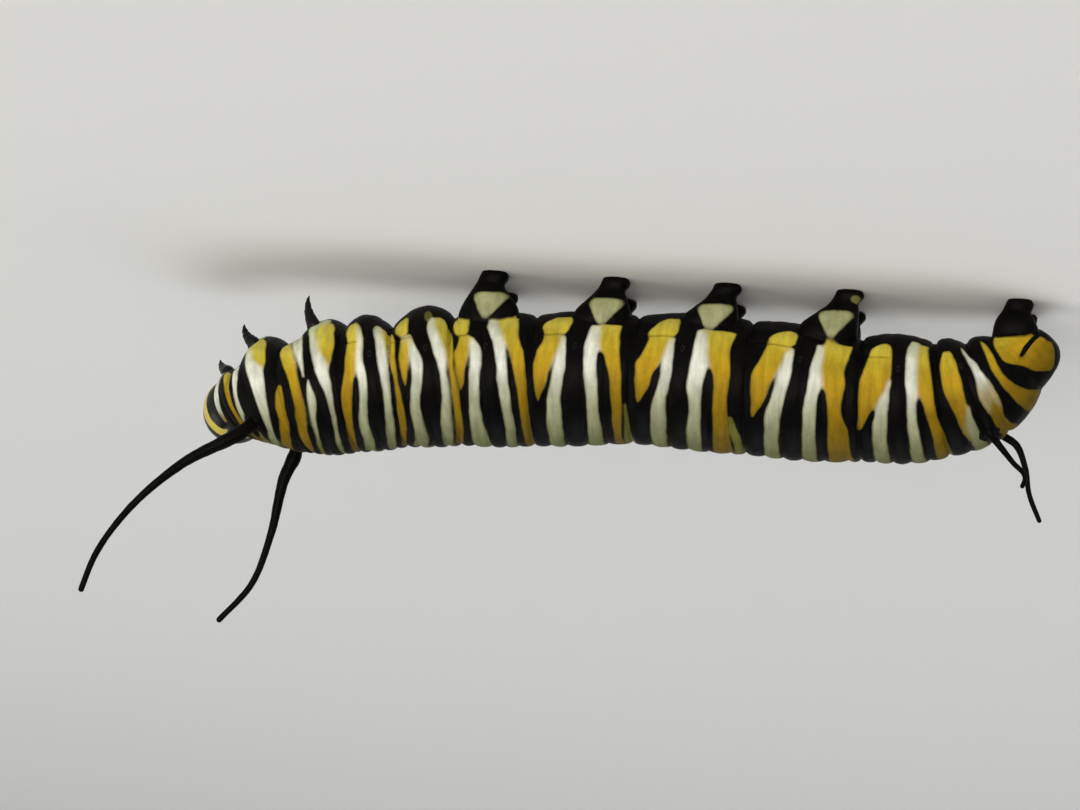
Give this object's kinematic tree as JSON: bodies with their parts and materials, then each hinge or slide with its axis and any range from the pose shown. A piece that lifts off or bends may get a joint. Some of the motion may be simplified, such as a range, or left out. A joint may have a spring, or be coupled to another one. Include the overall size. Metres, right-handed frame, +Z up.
{
  "type": "monarch larva",
  "caption": "Life-size larva of a monarch butterfly, banded black, white and yellow, standing on its prolegs with its front end lifted and turned aside.",
  "frame": {"origin": "middle of the bounding box at the level of the soles, z = 0", "axes": "+X along the body towards the head, +Y the larva's left, +Z up through its back"},
  "size_m": [0.0448, 0.009, 0.0166],
  "materials": {
    "banded_skin": "soft satin skin, cross-banded black, greyish white and golden yellow, with fine folds",
    "proleg_skin": "soft black skin with a slight gloss and a pale cream spot on each outer side",
    "leg_shell": "glossy black shell of the jointed legs",
    "tentacle_skin": "matt black skin, faintly ringed",
    "head_shell": "smooth satin shell, black with yellow bands",
    "jaw_shell": "glossy dark brown shell",
    "lip_skin": "soft dark brown skin of the lower lip and the short feelers",
    "eye_lens": "clear glossy dark beads of the simple eyes"
  },
  "bodies": {
    "root": {"prothorax": "banded_skin", "mesothorax": "banded_skin", "metathorax": "banded_skin", "abdomen_1": "banded_skin", "abdomen_2": "banded_skin", "abdomen_3": "banded_skin", "abdomen_4": "banded_skin", "abdomen_5": "banded_skin", "abdomen_6": "banded_skin", "abdomen_7": "banded_skin", "abdomen_8": "banded_skin", "abdomen_9": "banded_skin", "abdomen_10": "banded_skin", "proleg_3_right": "proleg_skin", "proleg_3_left": "proleg_skin", "proleg_4_right": "proleg_skin", "proleg_4_left": "proleg_skin", "proleg_5_right": "proleg_skin", "proleg_5_left": "proleg_skin", "proleg_6_right": "proleg_skin", "proleg_6_left": "proleg_skin", "anal_proleg_right": "proleg_skin", "anal_proleg_left": "proleg_skin", "leg_1_right": "leg_shell", "leg_1_left": "leg_shell", "leg_2_right": "leg_shell", "leg_2_left": "leg_shell", "leg_3_right": "leg_shell", "leg_3_left": "leg_shell", "front_tentacle_right": "tentacle_skin", "front_tentacle_left": "tentacle_skin", "rear_tentacle_right": "tentacle_skin", "rear_tentacle_left": "tentacle_skin", "head": "head_shell", "mandible_right": "jaw_shell", "mandible_left": "jaw_shell", "labium": "lip_skin", "antenna_right": "lip_skin", "antenna_left": "lip_skin"}
  },
  "joints": []
}
